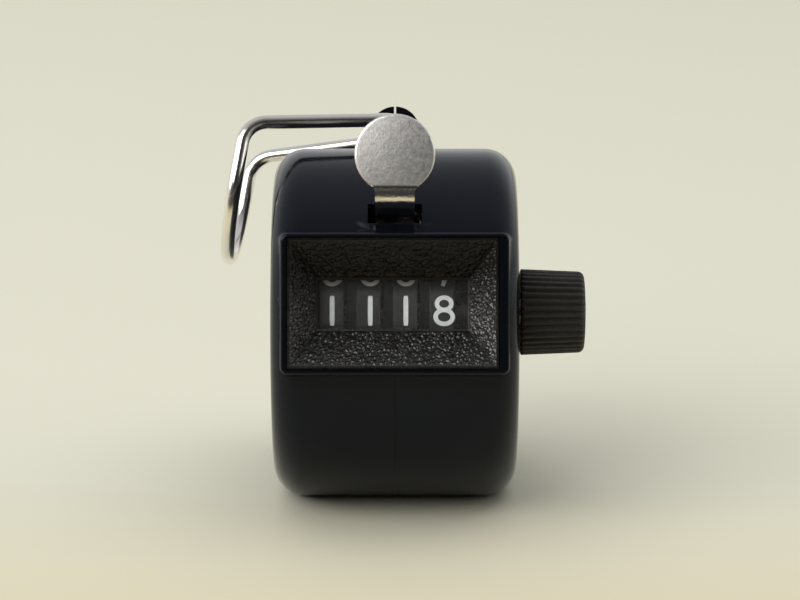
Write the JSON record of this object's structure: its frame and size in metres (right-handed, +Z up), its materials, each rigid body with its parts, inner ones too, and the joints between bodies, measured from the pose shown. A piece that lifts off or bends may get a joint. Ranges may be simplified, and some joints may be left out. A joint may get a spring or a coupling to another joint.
{
  "type": "hand tally counter",
  "caption": "Round hand tally counter with a framed digit window, thumb lever, hinged finger ring and ribbed reset knob",
  "frame": {"origin": "middle of the flat that the case stands on, on the plane where the two shells meet", "axes": "+X along the wheel shaft towards the reset knob, +Y away from the window, +Z up as it stands"},
  "size_m": [0.0468, 0.0469, 0.0525],
  "materials": {
    "case_plastic": "moulded, glossy black",
    "bezel_plastic": "moulded, grained black",
    "knob_plastic": "moulded, ribbed black",
    "lens": "clear",
    "wheel_plastic": "moulded black with white digits",
    "lever_steel": "nickel plated, satin blasted",
    "ring_steel": "bright plated wire",
    "frame_steel": "zinc plated sheet",
    "shaft_steel": "turned",
    "spring_steel": "spring temper",
    "spacer_steel": "turned"
  },
  "bodies": {
    "case": {"case_left": "case_plastic", "case_right": "case_plastic", "case_screws": "frame_steel", "window_bezel": "bezel_plastic", "window_lens": "lens", "frame_plate_left": "frame_steel", "frame_plate_right": "frame_steel", "frame_rods": "frame_steel", "lever_pivot_pin": "frame_steel", "lever_return_spring": "spring_steel", "detent_spring": "spring_steel", "wheel_spacer": "spacer_steel"},
    "reset_shaft": {"wheel_shaft": "shaft_steel", "shaft_clips": "spring_steel", "reset_knob": "knob_plastic"},
    "lever": {"thumb_lever": "lever_steel", "pawl_pin": "frame_steel", "pawl_spring": "spring_steel"},
    "pawl": {"drive_pawl": "frame_steel"},
    "ring": {"finger_ring": "ring_steel"},
    "thousands": {"wheel_thousands": "wheel_plastic", "reset_dog_thousands": "spring_steel"},
    "hundreds": {"wheel_hundreds": "wheel_plastic", "reset_dog_hundreds": "spring_steel"},
    "tens": {"wheel_tens": "wheel_plastic", "reset_dog_tens": "spring_steel"},
    "units": {"wheel_units": "wheel_plastic", "reset_dog_units": "spring_steel"}
  },
  "joints": [
    {"name": "lever_press", "type": "hinge", "parent": "case", "child": "lever", "pos_m": [0, -0.01106, 0.03702], "axis": [-1, 0, 0], "range_deg": [0, 18], "stiffness_Nm_per_rad": 0.02, "springref_deg": -20.05},
    {"name": "pawl_swing", "type": "hinge", "parent": "lever", "child": "pawl", "pos_m": [0, -0.00115, 0.03689], "axis": [-1, 0, 0], "range_deg": [-29, 0]},
    {"name": "units_count", "type": "hinge", "parent": "case", "child": "units", "pos_m": [0, -0.00864, 0.02557], "axis": [-1, 0, 0], "range_deg": [0, 36]},
    {"name": "tens_count", "type": "hinge", "parent": "case", "child": "tens", "pos_m": [0, -0.00864, 0.02557], "axis": [-1, 0, 0], "continuous": true},
    {"name": "hundreds_count", "type": "hinge", "parent": "case", "child": "hundreds", "pos_m": [0, -0.00864, 0.02557], "axis": [-1, 0, 0], "continuous": true},
    {"name": "thousands_count", "type": "hinge", "parent": "case", "child": "thousands", "pos_m": [0, -0.00864, 0.02557], "axis": [-1, 0, 0], "continuous": true},
    {"name": "reset_turn", "type": "hinge", "parent": "case", "child": "reset_shaft", "pos_m": [0, -0.00864, 0.02557], "axis": [-1, 0, 0], "continuous": true},
    {"name": "ring_swing", "type": "hinge", "parent": "case", "child": "ring", "pos_m": [0, 0.01127, 0.04498], "axis": [0, 0.8988, -0.4384], "range_deg": [-8, 189]}
  ],
  "couplings": [
    {"joint": "units_count", "follows": "lever_press", "ratio": 2},
    {"joint": "pawl_swing", "follows": "lever_press", "ratio": -1.56}
  ]
}
